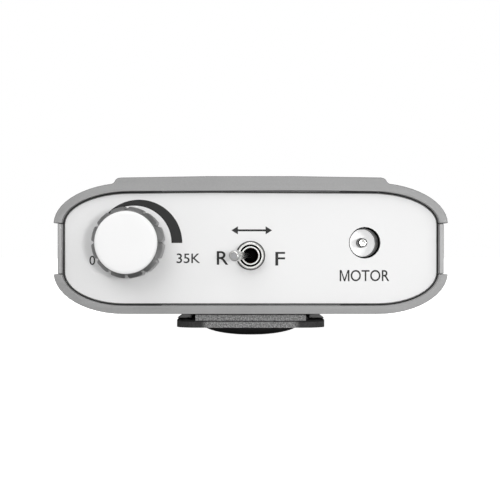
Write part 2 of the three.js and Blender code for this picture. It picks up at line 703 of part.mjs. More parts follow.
// ---- Wiring inside the housing ----
const LEAD_RADIUS = 0.7;
const LEADS = [
  [
    "battery_lead_red",
    "redWire",
    [
      [19, 44.9, 0],
      [19, 43.8, 4.5],
      [19.6, 42, 5.6],
      [20.4, 39.6, 5],
      [20.5, 39.2, -1.6],
    ],
  ],
  [
    "battery_lead_black",
    "blackWire",
    [
      [-19, 112.4, 0],
      [-19, 113.2, 6],
      [-23, 112.6, 9.2],
      [-27, 108, 9.4],
      [-27, 95, 9.4],
      [-27, 60, 9.4],
      [-26, 46, 9.2],
      [-14, 43.6, 8.6],
      [8, 43.2, 8.2],
      [19, 42.8, 8],
      [23.4, 41, 6.4],
      [23.6, 39.2, 3],
      [23.6, 39.2, -1.6],
    ],
  ],
  [
    "charge_lead_red",
    "redWire",
    [
      [10, 114.6, -4.1],
      [10, 114, 2],
      [14, 113.8, 7],
      [22, 112.2, 9.4],
      [26, 108, 9.6],
      [26, 60, 9.6],
      [27, 46, 8.6],
      [28, 42, 2],
      [28, 41, -4.1],
    ],
  ],
];

function wiring() {
  const group = new THREE.Group();
  for (const [name, colour, route] of LEADS)
    group.add(piece(name, wire(route, LEAD_RADIUS, 3 * route.length), finish[colour]));
  return group;
}

// ---- Belt clip ----
// The lever's side profile, in y and z, from its front edge to the lip at its tip.
function leverProfile() {
  const { front, rear, plateTop, plateUnder, tipTop } = CLIP;
  const shape = new THREE.Shape();
  shape.moveTo(front, plateUnder);
  shape.lineTo(rear - 6, plateUnder);
  shape.bezierCurveTo(rear - 2, plateUnder, rear, plateUnder + 1, rear, plateUnder + 2.4);
  shape.quadraticCurveTo(rear, tipTop, rear - 1.2, tipTop);
  shape.quadraticCurveTo(rear - 2.2, tipTop, rear - 2.8, tipTop - 1);
  shape.quadraticCurveTo(rear - 3.8, plateTop, rear - 6.4, plateTop);
  shape.lineTo(front, plateTop);
  return shape;
}

// The lever seen from above, with its corners rounded.
function leverPlan() {
  const { halfWidth: w, front, rear, cornerRadius: r } = CLIP;
  const shape = new THREE.Shape();
  shape.moveTo(-w + r, front);
  shape.lineTo(w - r, front);
  shape.absarc(w - r, front + r, r, -Math.PI / 2, 0);
  shape.lineTo(w, rear - r);
  shape.absarc(w - r, rear - r, r, 0, Math.PI / 2);
  shape.lineTo(-w + r, rear);
  shape.absarc(-w + r, rear - r, r, Math.PI / 2, Math.PI);
  shape.lineTo(-w, front + r);
  shape.absarc(-w + r, front + r, r, Math.PI, 1.5 * Math.PI);
  return shape;
}

const pinBore = () => crossRod(CLIP.pinY, CLIP.pinZ, CLIP.pinRadius + RUNNING, -20, 20);

function clipLever() {
  const { halfWidth, plateTop, flankTop, flankRear, front } = CLIP;
  const { pinY, pinZ, knuckle, knuckleInner, knuckleOuter } = CLIP;
  const { ribHalf, ribTop, ribDeep, ribGroove } = CLIP;
  const flanks = [[-halfWidth, -ribHalf], [ribHalf, halfWidth]].map((reach) =>
    box(reach, [front, flankRear], [plateTop - 0.5, flankTop]),
  );
  const blank = join(alongX(leverProfile(), -halfWidth, halfWidth), ...flanks);
  const arm = blank.intersect(alongZ(leverPlan(), -25, -10));
  const rib = box([-ribHalf, ribHalf], [front, front + ribDeep], [plateTop - 0.5, ribTop]);
  const grooveHeight = [plateTop, plateTop + ribGroove];
  const groove = box([-ribHalf, ribHalf], [front - THROUGH, front + ribGroove], grooveHeight);
  const lug = new THREE.Shape();
  lug.moveTo(pinY - 1.8, plateTop - 0.5);
  lug.lineTo(pinY + 1.8, plateTop - 0.5);
  lug.absarc(pinY, pinZ, knuckle, -0.1 * Math.PI, 1.1 * Math.PI);
  const lugs = [alongX(lug, -knuckleOuter, -knuckleInner), alongX(lug, knuckleInner, knuckleOuter)];
  return cut(join(arm, cut(rib, groove), ...lugs), pinBore());
}

// The long crowned cushion on the lever's outer face, which the box lies on.
function clipCushion() {
  const { crownHalf: w, crownFront, crownRear, crownLow, crownRun: run, plateUnder: root } = CLIP;
  const section = new THREE.Shape();
  section.absellipse(0, root, w, root - crownLow + 0.2, Math.PI, 2 * Math.PI, false, 0);
  const side = new THREE.Shape();
  side.moveTo(crownFront, root);
  side.quadraticCurveTo(crownFront + 1, crownLow, crownFront + run, crownLow);
  side.lineTo(crownRear - run, crownLow);
  side.quadraticCurveTo(crownRear - 1, crownLow, crownRear, root);
  const plan = new THREE.Shape();
  plan.absarc(0, crownFront + w, w, Math.PI, 2 * Math.PI, false);
  plan.absarc(0, crownRear - w, w, 0, Math.PI, false);
  const bar = alongY(section, crownFront, crownRear).intersect(alongX(side, -w, w));
  return bar.intersect(alongZ(plan, crownLow - THROUGH, root + THROUGH));
}

function clipBase() {
  const { cheekInner, cheekTopOuter, cheekOuter, cheekBottom, cheekLift, cheekFront, cheekRear } = CLIP;
  const { basePlateFront, basePlateRear, basePlateThick, pinY, screwX, screwY } = CLIP;
  const cheek = new THREE.Shape();
  cheek.moveTo(cheekInner, CLIP_BASE_TOP);
  cheek.lineTo(cheekTopOuter, CLIP_BASE_TOP);
  cheek.lineTo(cheekOuter, cheekBottom + 0.3);
  cheek.lineTo(cheekOuter, cheekBottom);
  cheek.lineTo(cheekInner, cheekBottom);
  const lift = new THREE.Shape();
  lift.moveTo(cheekFront, cheekBottom - THROUGH);
  lift.lineTo(pinY, cheekBottom - THROUGH);
  lift.lineTo(pinY, cheekBottom);
  lift.lineTo(cheekFront - 0.1, cheekBottom + cheekLift);
  const right = cut(alongY(cheek, cheekFront, cheekRear), alongX(lift, 0, cheekOuter + THROUGH));
  const left = right.mirror([1, 0, 0]);
  const under = CLIP_BASE_TOP - basePlateThick;
  const plate = box([-cheekTopOuter, cheekTopOuter], [basePlateFront, basePlateRear], [under, CLIP_BASE_TOP]);
  const screwHoles = [-screwX, screwX].map((x) => post(x, screwY, 1.3, -20, -10));
  return cut(join(plate, left, right), pinBore(), ...screwHoles);
}

// The torsion spring on the pin, with one leg under the shell and one on the thumb end.
function clipSpring() {
  const { pinY, pinZ, plateTop } = CLIP;
  const coil = crossRod(pinY, pinZ, 1.2, -5, 5);
  const shellLeg = box([-5, -4.6], [25.5, pinY], [pinZ + 0.75, pinZ + 1.15]);
  const thumbLeg = box([4.6, 5], [25.5, pinY], [plateTop + 0.1, plateTop + 0.5]);
  return cut(join(coil, shellLeg, thumbLeg), crossRod(pinY, pinZ, 0.75, -6, 6));
}

function beltClip() {
  const group = new THREE.Group();
  const { pinY, pinZ, pinRadius, pinHalf, basePlateThick } = CLIP;
  const { screwX, screwY, screwHead, screwHeadHeight, screwShank, screwTop } = CLIP;
  const seat = CLIP_BASE_TOP - basePlateThick - 0.05;
  const screw = (x) => risingScrew(x, screwY, seat, screwTop, screwHead, screwHeadHeight, screwShank);
  group.add(
    piece("clip_base", clipBase(), finish.clipPlastic),
    piece("clip_lever", clipLever(), finish.clipPlastic),
    piece("clip_cushion", clipCushion(), finish.blackPlastic),
    piece("clip_pin", crossRod(pinY, pinZ, pinRadius, -pinHalf, pinHalf), finish.steel),
    piece("clip_spring", clipSpring(), finish.steel),
    piece("clip_screw_left", screw(-screwX), finish.steel),
    piece("clip_screw_right", screw(screwX), finish.steel),
  );
  return group;
}

// ---- Assembly ----
const unit = new THREE.Group();
unit.add(
  housing(),
  speedControl(),
  directionSwitch(),
  coaxialSocket("motor_socket", PANEL_BACK, 0, finish.whitePlastic),
  coaxialSocket("charge_socket", REAR_PANEL_FRONT, Math.PI, finish.blackPlastic),
  electronics(),
  battery(),
  wiring(),
  beltClip(),
);

// The part's origin is the middle of its base: the clip's pad stands on z 0.
const bounds = new THREE.Box3().setFromObject(unit, true);
const centre = bounds.getCenter(new THREE.Vector3());
unit.position.set(-centre.x, -centre.y, -bounds.min.z);

const controller = new THREE.Group();
controller.add(unit);

export default controller;
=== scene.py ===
import json
import math

import bmesh
import bpy
from mathutils import Matrix, Vector


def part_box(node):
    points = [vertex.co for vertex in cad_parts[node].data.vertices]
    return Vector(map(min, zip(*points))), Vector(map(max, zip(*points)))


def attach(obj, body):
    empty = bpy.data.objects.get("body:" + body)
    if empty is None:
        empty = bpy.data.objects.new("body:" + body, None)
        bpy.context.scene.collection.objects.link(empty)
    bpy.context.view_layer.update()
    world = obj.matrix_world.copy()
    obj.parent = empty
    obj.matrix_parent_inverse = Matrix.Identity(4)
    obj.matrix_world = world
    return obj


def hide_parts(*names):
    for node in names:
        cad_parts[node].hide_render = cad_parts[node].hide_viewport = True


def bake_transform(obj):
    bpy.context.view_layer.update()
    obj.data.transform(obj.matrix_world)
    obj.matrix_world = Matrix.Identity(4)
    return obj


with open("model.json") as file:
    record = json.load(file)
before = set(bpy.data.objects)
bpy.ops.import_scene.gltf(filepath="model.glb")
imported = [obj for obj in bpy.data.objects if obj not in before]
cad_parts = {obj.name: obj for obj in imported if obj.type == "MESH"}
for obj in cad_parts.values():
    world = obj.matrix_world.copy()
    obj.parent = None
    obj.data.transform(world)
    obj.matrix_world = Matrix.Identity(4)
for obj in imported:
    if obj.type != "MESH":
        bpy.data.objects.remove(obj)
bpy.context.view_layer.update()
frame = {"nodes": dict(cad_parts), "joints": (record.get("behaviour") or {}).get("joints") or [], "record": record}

MM = 0.001
NODES = frame["nodes"]
SLOT_OF = {part["node"]: part["material_slot"] for part in frame["record"]["subparts"]}
BODY_OF = {node: body for body, nodes in frame["record"]["behaviour"]["bodies"].items() for node in nodes}

# ---- Places, read from the frame ----
# The box's own datum is in the middle of its width, at its shells' front ends and at half its height.
UNDERSIDE_DROP = 13.8
DATUM = Vector((0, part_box("upper_shell")[0].y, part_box("lower_shell")[0].z + UNDERSIDE_DROP * MM))


def at(x, y, z):
    """A point given in millimetres from the datum."""
    return DATUM + Vector((x, y, z)) * MM


def local(point):
    """A point of the frame, in millimetres from the datum."""
    return (point - DATUM) / MM


def middle(node):
    low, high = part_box(node)
    return local((low + high) / 2)


def joint_place(name):
    return local(Vector(next(j["pos_m"] for j in frame["joints"] if j["name"] == name)))


PANEL_FACE = local(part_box("front_panel")[0]).y
PANEL_BACK = local(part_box("front_panel")[1]).y
KNOB = middle("knob_cap")
SOCKET = middle("motor_socket_pin")
CHARGER = middle("charge_socket_pin")
TOGGLE = joint_place("toggle_throw")
HINGE = joint_place("clip_hinge")


# ---- Finishes ----
class Value:
    """A shader output that Python's operators combine through Math nodes."""

    def __init__(self, finish, socket):
        self.finish = finish
        self.socket = socket

    def maths(self, operation, *operands):
        return self.finish.node("ShaderNodeMath", {"operation": operation}, *operands)

    def __add__(self, other):
        return self.maths("ADD", self, other)

    def __radd__(self, other):
        return self.maths("ADD", other, self)

    def __sub__(self, other):
        return self.maths("SUBTRACT", self, other)

    def __rsub__(self, other):
        return self.maths("SUBTRACT", other, self)

    def __mul__(self, other):
        return self.maths("MULTIPLY", self, other)

    def __truediv__(self, other):
        return self.maths("DIVIDE", self, other)

    def __abs__(self):
        return self.maths("ABSOLUTE", self)

    def sine(self):
        return self.maths("SINE", self)

    def ramp(self, low, high):
        """0 below low, 1 above high and smooth between them."""
        settings = {"interpolation_type": "SMOOTHSTEP"}
        return self.finish.node("ShaderNodeMapRange", settings, self, low, high)


class Finish:
    """A Principled material, with its constant sockets set directly."""

    def __init__(self, name, **constants):
        self.material = bpy.data.materials.new(name)
        self.material.use_nodes = True
        self.tree = self.material.node_tree
        self.shader = self.tree.nodes["Principled BSDF"]
        for socket, value in constants.items():
            self.shader.inputs[socket.replace("_", " ")].default_value = value

    def node(self, kind, settings, *inputs, output=0, **named):
        """A node of this kind: its settings first, then its sockets in order or by name."""
        node = self.tree.nodes.new(kind)
        for name, value in settings.items():
            setattr(node, name, value)
        for key, value in [*enumerate(inputs), *named.items()]:
            socket = node.inputs[key.replace("_", " ") if isinstance(key, str) else key]
            if isinstance(value, Value):
                self.tree.links.new(value.socket, socket)
            else:
                socket.default_value = value
        return Value(self, node.outputs[output])

    def place(self, centre=(0, 0, 0), stretch=(1, 1, 1)):
        """Object coordinates about a centre, in metres, stretched along each axis."""
        coordinates = self.node("ShaderNodeTexCoord", {}, output="Object")
        moved = self.node("ShaderNodeVectorMath", {"operation": "SUBTRACT"}, coordinates, tuple(centre))
        return self.node("ShaderNodeVectorMath", {"operation": "MULTIPLY"}, moved, tuple(stretch))

    def axis(self, name, place):
        return self.node("ShaderNodeSeparateXYZ", {}, place, output=name)

    def noise(self, place, size, detail=2.0, roughness=0.5):
        """Noise about 0.5 whose features are about this size, in millimetres."""
        return self.node(
            "ShaderNodeTexNoise", {}, Vector=place, Scale=1 / (size * MM), Detail=detail, Roughness=roughness
        )

    def mix(self, share, first, second):
        node = self.tree.nodes.new("ShaderNodeMix")
        node.data_type = "RGBA"
        for index, value in ((0, share), (6, first), (7, second)):
            if isinstance(value, Value):
                self.tree.links.new(value.socket, node.inputs[index])
            else:
                node.inputs[index].default_value = value
        return Value(self, node.outputs[2])

    def bump(self, height, depth, strength=1.0):
        """Raises the surface by up to depth, in millimetres, where height is 1."""
        normal = self.node("ShaderNodeBump", {}, Strength=strength, Distance=depth * MM, Height=height)
        self.feed("Normal", normal)

    def feed(self, socket, value):
        self.tree.links.new(value.socket, self.shader.inputs[socket])


def grey(level):
    return (level, level, level, 1.0)


def tinted(red, green, blue):
    return (red, green, blue, 1.0)


def painted_plastic(name, colour, dark_colour, roughness=0.42, grain=0.28, grain_depth=0.012, **constants):
    """Moulded plastic: a fine even grain, faint clouding and a few handling scuffs."""
    finish = Finish(name, **constants)
    place = finish.place()
    clouds = finish.noise(place, 14, detail=3)
    fine = finish.noise(place, grain, detail=3, roughness=0.65)
    scuffs = finish.noise(finish.place(stretch=(1, 0.12, 1)), 0.9, detail=4, roughness=0.7).ramp(0.66, 0.78)
    tone = (clouds * 0.55 + fine * 0.45).ramp(0.35, 0.65)
    finish.feed("Base Color", finish.mix(tone, dark_colour, colour))
    finish.feed("Roughness", clouds * 0.12 + fine * 0.1 + scuffs * 0.1 + (roughness - 0.11))
    finish.bump(fine + scuffs * 0.25, grain_depth)
    return finish.material


TOOL_LINE_DEPTH = 0.004


def bright_metal(name, colour, roughness, line_size=0.05, centre=(0, 0, 0), stretch=(1, 1, 1)):
    """Plated or machined metal with fine tool lines and slight tarnish."""
    finish = Finish(name, Metallic=1.0)
    lines = finish.noise(finish.place(centre, stretch), line_size, detail=3, roughness=0.6)
    tarnish = finish.noise(finish.place(), 3.0, detail=4, roughness=0.6)
    dull = tuple(0.8 * channel for channel in colour[:3]) + (1.0,)
    finish.feed("Base Color", finish.mix(tarnish.ramp(0.4, 0.75), colour, dull))
    finish.feed("Roughness", tarnish * 0.14 + lines * 0.08 + (roughness - 0.08))
    finish.bump(lines, TOOL_LINE_DEPTH)
    return finish.material


# How far under the lever's highest point its groove runs, in millimetres; a painted shadow line lies along it.
GROOVE_DEPTH = 2.45


def speckled_clip():
    """The lever's dark plastic, with a lighter sparked texture over its thumb end, a painted shadow line along its
    groove, and below the groove painted light in the middle that fades to painted shade at the sides.
    """
    finish = Finish("clip_speckle", Specular_IOR_Level=0.35)
    low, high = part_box("clip_lever")
    place = finish.place((0, low.y, high.z))
    x, y, z = (finish.axis(name, place) / MM for name in "XYZ")
    width = abs(x)
    above_groove = (z + GROOVE_DEPTH).ramp(-0.05, 0.05)
    # A near-black painted shadow line along the groove.
    groove_shadow_line = 1 - abs(z + GROOVE_DEPTH).ramp(0.08, 0.22)
    full = above_groove * (1 - width.ramp(12.75, 12.95))
    # Below the groove the lighter texture fades out towards the sides: painted light in the middle, painted shade
    # at the sides.
    painted_light_fade = (1 - above_groove) * (1 - width.ramp(9.8, 11.6))
    speckle_and_painted_light = (full + painted_light_fade) * (1 - y.ramp(3.2, 5.0))
    grains = finish.noise(finish.place(), 0.34, detail=3, roughness=0.75).ramp(0.34, 0.68)
    light = finish.mix(grains, grey(0.2), grey(0.85))
    dark = finish.mix(grains, grey(0.065), grey(0.12))
    finish.feed("Base Color", finish.mix(groove_shadow_line * 0.9, finish.mix(speckle_and_painted_light, dark, light), grey(0.02)))
    finish.feed("Roughness", grains * 0.2 + 0.55)
    finish.bump(grains, 0.05, strength=0.7)
    return finish.material


def rubber(name, colour, worn, roughness=0.5):
    finish = Finish(name, Specular_IOR_Level=0.4)
    place = finish.place()
    dust = finish.noise(place, 5, detail=4, roughness=0.65).ramp(0.5, 0.8)
    grain = finish.noise(place, 0.2, detail=2)
    finish.feed("Base Color", finish.mix(dust * 0.6, colour, worn))
    finish.feed("Roughness", grain * 0.16 + dust * 0.1 + (roughness - 0.08))
    finish.bump(grain, 0.012)
    return finish.material


def circuit_board():
    """Green solder mask over straight copper tracks, with tinned pads on a grid."""
    finish = Finish("solder_mask", Coat_Weight=0.4, Coat_Roughness=0.15)
    place = finish.place()
    tracks = finish.node(
        "ShaderNodeTexBrick",
        {"offset": 0.37, "offset_frequency": 3},
        output="Fac",
        Vector=place,
        Scale=1 / (9 * MM),
        Mortar_Size=0.045,
        Brick_Width=0.6,
        Row_Height=0.21,
    )
    pads = finish.node(
        "ShaderNodeTexVoronoi",
        {"feature": "F1"},
        output="Distance",
        Vector=place,
        Scale=1 / (4.2 * MM),
        Randomness=0.35,
    )
    pad = 1 - pads.ramp(0.13, 0.16)
    mask = finish.mix(tracks, tinted(0.012, 0.11, 0.035), tinted(0.03, 0.2, 0.07))
    finish.feed("Base Color", finish.mix(pad, mask, tinted(0.62, 0.6, 0.55)))
    finish.feed("Metallic", pad * 0.9)
    finish.feed("Roughness", 0.38 - pad * 0.1)
    finish.bump(tracks * 0.5 + pad, 0.03)
    return finish.material


def shrink_wrap():
    """Blue film shrunk over a cell, with a darker seam band and faint creases round its ends."""
    finish = Finish("shrink_wrap", Coat_Weight=0.5, Coat_Roughness=0.12)
    place = finish.place()
    creases = finish.noise(finish.place(stretch=(1, 0.08, 1)), 1.4, detail=3)
    low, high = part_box("battery_cell_centre")
    along = abs(finish.axis("Y", finish.place((low + high) / 2))) / MM
    ends = along.ramp(27, 31)
    clouds = finish.noise(place, 8, detail=2)
    film = finish.mix(clouds, tinted(0.02, 0.13, 0.34), tinted(0.03, 0.19, 0.44))
    finish.feed("Base Color", finish.mix(ends * 0.5, film, tinted(0.01, 0.06, 0.18)))
    finish.feed("Roughness", creases * 0.15 + 0.22)
    finish.bump(creases * ends, 0.08)
    return finish.material


def winding():
    """Enamelled copper turns lying side by side round a ferrite core."""
    finish = Finish("copper_winding")
    centre = sum(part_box("choke_coil"), Vector()) / 2
    place = finish.place(centre)
    height = finish.axis("Z", place) / MM
    turns = (height * (2 * math.pi / 0.45)).sine() * 0.5 + 0.5
    core = abs(height).ramp(1.3, 1.5)
    grain = finish.noise(place, 0.3)
    # Each turn is bright copper on its crest and dark between turns: a painted highlight and painted shade.
    copper = finish.mix(turns, tinted(0.2, 0.055, 0.02), tinted(0.62, 0.24, 0.1))
    ferrite = finish.mix(grain, grey(0.03), grey(0.06))
    finish.feed("Base Color", finish.mix(core, copper, ferrite))
    finish.feed("Metallic", 0.85 - core * 0.85)
    finish.feed("Roughness", 0.3 + core * 0.35)
    finish.bump(turns * (1 - core) + grain * 0.15, 0.1)
    return finish.material


def lamp_lens():
    finish = Finish("lamp_lens", Coat_Weight=0.6, Transmission_Weight=0.35, IOR=1.49)
    place = finish.place((LAMP_SPOT.x, 0, LAMP_SPOT.z))
    cells = finish.noise(place, 0.5, detail=1)
    finish.feed("Base Color", finish.mix(cells, tinted(0.06, 0.42, 0.1), tinted(0.14, 0.6, 0.2)))
    finish.feed("Roughness", cells * 0.1 + 0.12)
    return finish.material


LAMP_SPOT = sum(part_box("charge_lamp"), Vector()) / 2
knob_centre = at(KNOB.x, 0, KNOB.z)

shell_paint = painted_plastic("shell_paint", grey(0.3), grey(0.27), roughness=0.45)
# Near-black painted shade: the dark outline on the shells' and rails' rounded edges, and on the panels' cut edges
# and shadow lines.
painted_edge_shade = painted_plastic("painted_edge_shade", grey(0.075), grey(0.06), roughness=0.5)
rail_plastic = painted_plastic("rail_plastic", grey(0.4), grey(0.36), roughness=0.5)
panel_plastic = painted_plastic(
    "panel_plastic", grey(0.77), grey(0.755), roughness=0.55, grain=0.16, grain_depth=0.003
)
knob_metal = bright_metal(
    "knob_metal", grey(0.23), 0.3, line_size=0.12, centre=knob_centre, stretch=(0.15, 1, 0.15)
)
cap_finish = painted_plastic(
    "cap_enamel", grey(0.79), grey(0.775), roughness=0.45, grain=0.1, grain_depth=0.002
)
nickel = bright_metal("nickel_plate", tinted(0.67, 0.67, 0.65), 0.2)
zinc = bright_metal("zinc_plate", tinted(0.46, 0.46, 0.47), 0.34)
pot_metal = bright_metal("pot_metal", tinted(0.52, 0.52, 0.51), 0.38, stretch=(1, 0.1, 1))
socket_plastic = painted_plastic(
    "socket_plastic", grey(0.86), grey(0.8), roughness=0.34, grain=0.12, grain_depth=0.004
)
black_plastic = painted_plastic("black_plastic", grey(0.03), grey(0.018), roughness=0.45)
# Near-black with no shine: painted shade in the toggle bushing's bore and groove, on the bat's ball in the
# bushing's mouth and round the sockets' bore mouths.
painted_bore_shade = painted_plastic(
    "painted_bore_shade", grey(0.006), grey(0.003), roughness=0.8, Specular_IOR_Level=0.0
)
red_plastic = painted_plastic("red_plastic", tinted(0.42, 0.03, 0.02), tinted(0.3, 0.02, 0.015), roughness=0.45)
print_ink = painted_plastic(
    "print_ink", grey(0.018), grey(0.014), roughness=0.75, grain=0.08, grain_depth=0.002
)
clip_plastic = painted_plastic(
    "clip_plastic", grey(0.27), grey(0.22), roughness=0.55, grain=0.2, grain_depth=0.02
)
speckle = speckled_clip()
cushion_rubber = rubber("cushion_rubber", grey(0.05), grey(0.07))
red_insulation = rubber("red_insulation", tinted(0.5, 0.02, 0.012), tinted(0.56, 0.08, 0.06), roughness=0.42)
black_insulation = rubber("black_insulation", grey(0.012), grey(0.04), roughness=0.42)
solder_mask = circuit_board()
cell_film = shrink_wrap()
copper = winding()
lens = lamp_lens()
# A metal contact sleeve, made darker than the metal is as painted shade inside the sockets' bores and round the
# pins' edges.
sleeve_metal_and_shade = bright_metal("sleeve_metal_and_shade", grey(0.2), 0.4, line_size=0.08)
# The socket's floor gives off light, which a real one doesn't, so that it stays white deep in its bore.
glowing_nylon = painted_plastic(
    "glowing_pale_nylon",
    grey(0.9),
    grey(0.86),
    roughness=0.35,
    grain=0.12,
    grain_depth=0.003,
    Emission_Color=grey(1.0),
    Emission_Strength=0.65,
)


# ---- Pieces ----
def put(name, bm, body, materials, stands_for=(), round_edges=0.0, edge_shade_material=-1, smooth_under=35):
    """Makes a mesh of bm, in metres in the row frame, and fixes it to a body of the frame, if one is named."""
    mesh = bpy.data.meshes.new(name)
    bm.to_mesh(mesh)
    bm.free()
    piece = bpy.data.objects.new(name, mesh)
    bpy.context.scene.collection.objects.link(piece)
    for material in materials:
        mesh.materials.append(material)
    mesh.polygons.foreach_set("use_smooth", [True] * len(mesh.polygons))
    if round_edges:
        bevel = piece.modifiers.new("rounded_edges", "BEVEL")
        bevel.width = round_edges * MM
        bevel.segments = 3
        bevel.limit_method = "ANGLE"
        bevel.angle_limit = math.radians(smooth_under)
        bevel.use_clamp_overlap = True
        bevel.harden_normals = True
        # Where a material is given, the rounded edges take it as a painted dark edge shade.
        bevel.material = edge_shade_material
    else:
        mesh.set_sharp_from_angle(angle=math.radians(smooth_under))
    if body:
        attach(piece, body)
    if stands_for:
        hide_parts(*stands_for)
    return piece


def merged_copy(node):
    """A CAD node's shape as clean faces: its triangles welded, and the flat ones joined."""
    bm = bmesh.new()
    bm.from_mesh(NODES[node].data)
    bmesh.ops.remove_doubles(bm, verts=bm.verts, dist=1e-6)
    bmesh.ops.dissolve_limit(bm, angle_limit=math.radians(0.6), verts=bm.verts, edges=bm.edges)
    for face in bm.faces:
        face.material_index = 0
    return bm


def refined(node, materials, round_edges, edge_shade_material=-1):
    """Stands for a CAD node with the same shape and its sharp edges rounded."""
    name = f"{node}_finished"
    bm = merged_copy(node)
    put(name, bm, BODY_OF[node], materials, [node], round_edges, edge_shade_material)


def turned(profile, steps=96, closed=False):
    """A solid turned about the Y axis. Its profile runs through (radius, depth) points, in millimetres."""
    bm = bmesh.new()
    line = [bm.verts.new((radius, depth, 0)) for radius, depth in profile]
    pairs = list(zip(line, line[1:]))
    if closed:
        pairs.append((line[-1], line[0]))
    edges = [bm.edges.new(pair) for pair in pairs]
    bmesh.ops.spin(
        bm,
        geom=line + edges,
        cent=(0, 0, 0),
        axis=(0, 1, 0),
        angle=2 * math.pi,
        steps=steps,
        use_merge=True,
    )
    bmesh.ops.remove_doubles(bm, verts=bm.verts, dist=1e-4)
    bmesh.ops.recalc_face_normals(bm, faces=bm.faces)
    return bm


def settle(bm, x, y, z):
    """Takes a shape drawn in millimetres to its place by the datum, in metres."""
    bmesh.ops.transform(bm, matrix=Matrix.Translation(at(x, y, z)) @ Matrix.Scale(MM, 4), verts=bm.verts)
    return bm


def arc(radius, centre_radius, centre_depth, start, end, count):
    """Points of a round stretch of a turned profile, by angle in degrees from straight out."""
    angles = [math.radians(start + (end - start) * step / count) for step in range(count + 1)]
    return [(centre_radius + radius * math.cos(a), centre_depth + radius * math.sin(a)) for a in angles]


# Knob: a fluted metal grip with a white face.
FLUTES = 12
FLUTE_HALF_ANGLE = math.radians(4.2)
FLUTE_DEPTH = 0.7
GRIP_RADIUS = 7.57
CAP_RADIUS = 6.57


def knob_grip():
    profile = [
        (0, -9.45),
        (6.6, -9.45),
        (6.72, -9.35),
        (7.4, -7.75),
        (7.52, -7.4),
        (GRIP_RADIUS, -7.0),
        (GRIP_RADIUS, 0.7),
        (7.48, 0.92),
        (7.3, 1.0),
        (6.35, 1.0),
        (6.15, 0.8),
        (6.15, -3.0),
        (4.9, -3.0),
        (4.9, -2.0),
        (3.05, -2.0),
        (3.05, -6.9),
        (0, -6.9),
    ]
    bm = turned(profile, steps=360)
    pitch = 2 * math.pi / FLUTES
    for vert in bm.verts:
        radius = math.hypot(vert.co.x, vert.co.z)
        turn = math.atan2(vert.co.z, vert.co.x) % pitch
        off_centre = min(turn, pitch - turn) / FLUTE_HALF_ANGLE
        cut = GRIP_RADIUS - FLUTE_DEPTH * max(0.0, 1.0 - off_centre)
        if radius > cut:
            vert.co.x *= cut / radius
            vert.co.z *= cut / radius
    settle(bm, KNOB.x, 0, KNOB.z)
    put("knob_grip_fluted", bm, "knob", [knob_metal], ["knob_grip"], smooth_under=24)


def knob_cap():
    profile = [
        (0, -10.5),
        (4.5, -10.48),
        (5.8, -10.45),
        (6.3, -10.4),
        *arc(0.25, CAP_RADIUS - 0.25, -10.1, -75, 0, 5),
        (CAP_RADIUS, -9.5),
        (0, -9.5),
    ]
    bm = settle(turned(profile, steps=128), KNOB.x, 0, KNOB.z)
    put("knob_face", bm, "knob", [cap_finish], ["knob_cap"])


# Direction toggle: a plated bat in a threaded bushing.
BUSHING = {"radius": 2.85, "mouth": -1.5, "bore": 1.6, "pitch": 0.5, "thread": 0.2}
BAT_TILT = math.radians(16)
BAT_REACH = 12.6


def toggle_bushing():
    mouth, radius, bore = BUSHING["mouth"], BUSHING["radius"], BUSHING["bore"]
    pitch, thread = BUSHING["pitch"], BUSHING["thread"]
    threads = []
    for turn in range(9):
        start = mouth + 0.35 + turn * pitch
        threads += [(radius, start), (radius, start + 0.1), (radius - thread, start + 0.3)]
    profile = [
        (bore, mouth + 0.6),
        (1.66, mouth + 0.12),
        (1.7, mouth),
        (1.97, mouth),
        (2.0, mouth + 0.03),
        (2.0, mouth + 1.0),
        (2.4, mouth + 1.0),
        (2.4, mouth),
        (2.72, mouth),
        (2.82, mouth + 0.1),
        *threads,
        (radius - thread, 4.2),
        (bore, 4.2),
    ]
    bm = turned(profile, steps=96, closed=True)
    # The groove between the mouth's rings and the bore take the painted bore shade.
    for face in bm.faces:
        middle_point = face.calc_center_median()
        spread = math.hypot(middle_point.x, middle_point.z)
        in_groove = 1.98 < spread < 2.42 and middle_point.y > mouth + 0.1
        in_bore = spread < 1.97 and middle_point.y > mouth + 0.7
        face.material_index = int(in_groove or in_bore)
    frame_plate(bm)
    settle(bm, TOGGLE.x, 0, TOGGLE.z)
    put("toggle_threaded_bushing", bm, "root", [nickel, painted_bore_shade], ["toggle_frame"])


def frame_plate(bm):
    """The switch frame's front plate, behind the panel and round the bushing."""
    low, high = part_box("toggle_frame")
    half = (high - low) / 2 / MM
    facing = Matrix.Translation((0, PANEL_BACK + 0.4, 0)) @ Matrix.Rotation(math.pi / 2, 4, "X")
    ring = bmesh.ops.create_circle(bm, segments=24, radius=2.64, matrix=facing)["verts"]
    turned_square = facing @ Matrix.Rotation(math.pi / 4, 4, "Z")
    border = bmesh.ops.create_circle(bm, segments=4, radius=math.sqrt(2), matrix=turned_square)["verts"]
    bmesh.ops.scale(bm, vec=(half.x, 1, half.z), verts=border)
    edges = {edge for vert in ring + border for edge in vert.link_edges}
    plate = bmesh.ops.bridge_loops(bm, edges=list(edges))["faces"]
    bmesh.ops.solidify(bm, geom=plate, thickness=-0.55)


